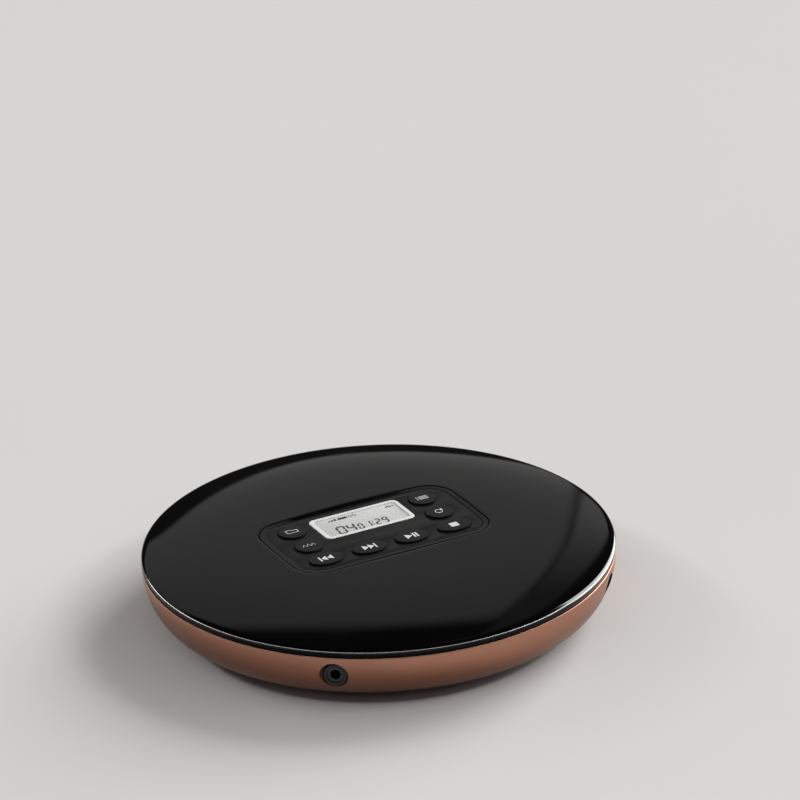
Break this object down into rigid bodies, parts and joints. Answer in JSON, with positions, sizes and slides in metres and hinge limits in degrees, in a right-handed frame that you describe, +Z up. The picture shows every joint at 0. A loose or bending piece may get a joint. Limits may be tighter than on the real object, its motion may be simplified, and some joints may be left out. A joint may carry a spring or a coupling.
{
  "type": "portable cd player",
  "caption": "Round, low portable disc player: metal side wall, glossy domed hinged lid with a keypad and a small display, turntable, laser sled and geared drive inside.",
  "frame": {"origin": "on the ground under the middle of the round case", "axes": "+Z up, -Y the front that faces the listener, +X the player's right, lid hinge at the back on +Y"},
  "size_m": [0.142, 0.142, 0.025],
  "materials": {
    "copper": "satin, anodised copper-brown",
    "matte_black": "fine matt grain",
    "rubber_black": "matt",
    "steel": "brushed",
    "board_green": "solder mask",
    "battery_blue": "shrink film",
    "sled_black": "moulded",
    "key_black": "satin",
    "gloss_black": "high gloss, piano black",
    "white_plastic": "smooth",
    "clear_plastic": "clear",
    "lcd_grey": "smooth, liquid crystal grey",
    "flex_amber": "polyimide film",
    "gear_white": "smooth acetal",
    "lens_glass": "coated"
  },
  "bodies": {
    "base": {"side_shell": "copper", "bottom_cover": "matte_black", "tray_deck": "matte_black", "foot_1": "rubber_black", "foot_2": "rubber_black", "foot_3": "rubber_black", "foot_4": "rubber_black", "case_screw_1": "steel", "case_screw_2": "steel", "case_screw_3": "steel", "case_screw_4": "steel", "main_board": "board_green", "battery_pack": "battery_blue", "headphone_jack": "matte_black", "line_out_jack": "matte_black", "usb_socket": "steel", "volume_board": "board_green", "hold_switch": "sled_black", "hinge_bracket": "matte_black", "hinge_pin": "steel", "chassis_plate": "steel", "damper_1": "rubber_black", "damper_2": "rubber_black", "damper_3": "rubber_black", "damper_4": "rubber_black", "spindle_motor": "steel", "guide_rod_main": "steel", "guide_rod_aux": "steel", "sled_motor": "steel"},
    "lid": {"lid_shell": "gloss_black", "lid_liner": "matte_black", "lid_catch": "sled_black", "keypad_bezel": "gloss_black", "keypad_plate": "key_black", "lcd_frame": "white_plastic", "lcd_window": "clear_plastic", "lcd_module": "lcd_grey", "key_mat": "rubber_black", "lid_board": "board_green", "lid_flex_cable": "flex_amber"},
    "key_directory": {"key_directory": "key_black"},
    "key_anti_shock": {"key_anti_shock": "key_black"},
    "key_mode": {"key_mode": "key_black"},
    "key_repeat": {"key_repeat": "key_black"},
    "key_previous": {"key_previous": "key_black"},
    "key_next": {"key_next": "key_black"},
    "key_play_pause": {"key_play_pause": "key_black"},
    "key_stop": {"key_stop": "key_black"},
    "volume_down_key": {"volume_down_key": "key_black"},
    "volume_up_key": {"volume_up_key": "key_black"},
    "hold_knob": {"hold_knob": "key_black"},
    "open_slide": {"open_slide": "key_black"},
    "turntable": {"turntable": "sled_black"},
    "disc_claw_1": {"disc_claw_1": "gear_white"},
    "disc_claw_2": {"disc_claw_2": "gear_white"},
    "disc_claw_3": {"disc_claw_3": "gear_white"},
    "pickup_sled": {"pickup_sled": "sled_black"},
    "pickup_lens": {"pickup_lens": "lens_glass"},
    "drive_gear": {"drive_gear": "gear_white"},
    "motor_pinion": {"motor_pinion": "gear_white"}
  },
  "joints": [
    {"name": "lid_hinge", "type": "hinge", "parent": "base", "child": "lid", "pos_m": [0, 0.068, 0.0164], "axis": [-1, 0, 0], "range_deg": [0, 65]},
    {"name": "key_directory_press", "type": "slide", "parent": "lid", "child": "key_directory", "axis": [0, 0, -1], "range_m": [0, 0.0005], "stiffness_N_per_m": 1500},
    {"name": "key_anti_shock_press", "type": "slide", "parent": "lid", "child": "key_anti_shock", "axis": [0, 0, -1], "range_m": [0, 0.0005], "stiffness_N_per_m": 1500},
    {"name": "key_mode_press", "type": "slide", "parent": "lid", "child": "key_mode", "axis": [0, 0, -1], "range_m": [0, 0.0005], "stiffness_N_per_m": 1500},
    {"name": "key_repeat_press", "type": "slide", "parent": "lid", "child": "key_repeat", "axis": [0, 0, -1], "range_m": [0, 0.0005], "stiffness_N_per_m": 1500},
    {"name": "key_previous_press", "type": "slide", "parent": "lid", "child": "key_previous", "axis": [0, 0, -1], "range_m": [0, 0.0005], "stiffness_N_per_m": 1500},
    {"name": "key_next_press", "type": "slide", "parent": "lid", "child": "key_next", "axis": [0, 0, -1], "range_m": [0, 0.0005], "stiffness_N_per_m": 1500},
    {"name": "key_play_pause_press", "type": "slide", "parent": "lid", "child": "key_play_pause", "axis": [0, 0, -1], "range_m": [0, 0.0005], "stiffness_N_per_m": 1500},
    {"name": "key_stop_press", "type": "slide", "parent": "lid", "child": "key_stop", "axis": [0, 0, -1], "range_m": [0, 0.0005], "stiffness_N_per_m": 1500},
    {"name": "volume_down_key_press", "type": "slide", "parent": "base", "child": "volume_down_key", "axis": [-0.9135, -0.4067, 0], "range_m": [0, 0.0004], "stiffness_N_per_m": 1500},
    {"name": "volume_up_key_press", "type": "slide", "parent": "base", "child": "volume_up_key", "axis": [-0.8387, -0.5446, 0], "range_m": [0, 0.0004], "stiffness_N_per_m": 1500},
    {"name": "hold_slide", "type": "slide", "parent": "base", "child": "hold_knob", "axis": [-0.848, 0.5299, 0], "range_m": [0, 0.003]},
    {"name": "open_slide_travel", "type": "slide", "parent": "base", "child": "open_slide", "axis": [0, 1, 0], "range_m": [0, 0.0032], "stiffness_N_per_m": 600},
    {"name": "spindle_spin", "type": "hinge", "parent": "base", "child": "turntable", "pos_m": [0, 0, 0.0159], "axis": [0, 0, 1], "continuous": true},
    {"name": "disc_claw_1_press", "type": "slide", "parent": "turntable", "child": "disc_claw_1", "axis": [0, -1, 0], "range_m": [0, 0.0005], "stiffness_N_per_m": 1000},
    {"name": "disc_claw_2_press", "type": "slide", "parent": "turntable", "child": "disc_claw_2", "axis": [0.866, 0.5, 0], "range_m": [0, 0.0005], "stiffness_N_per_m": 1000},
    {"name": "disc_claw_3_press", "type": "slide", "parent": "turntable", "child": "disc_claw_3", "axis": [-0.866, 0.5, 0], "range_m": [0, 0.0005], "stiffness_N_per_m": 1000},
    {"name": "sled_travel", "type": "slide", "parent": "base", "child": "pickup_sled", "axis": [0, -1, 0], "range_m": [0, 0.032]},
    {"name": "lens_focus", "type": "slide", "parent": "pickup_sled", "child": "pickup_lens", "axis": [0, 0, 1], "range_m": [-0.0004, 0.0004], "stiffness_N_per_m": 50},
    {"name": "drive_gear_spin", "type": "hinge", "parent": "base", "child": "drive_gear", "pos_m": [0.0206, -0.0265, 0.008], "axis": [0, 0, 1], "range_deg": [0, 384]},
    {"name": "motor_pinion_spin", "type": "hinge", "parent": "base", "child": "motor_pinion", "pos_m": [0.03564, -0.02103, 0.0075], "axis": [0, 0, 1], "range_deg": [-1150, 0]}
  ],
  "couplings": [
    {"joint": "drive_gear_spin", "follows": "sled_travel", "rad_per_m": 208.33},
    {"joint": "motor_pinion_spin", "follows": "sled_travel", "rad_per_m": -625}
  ]
}
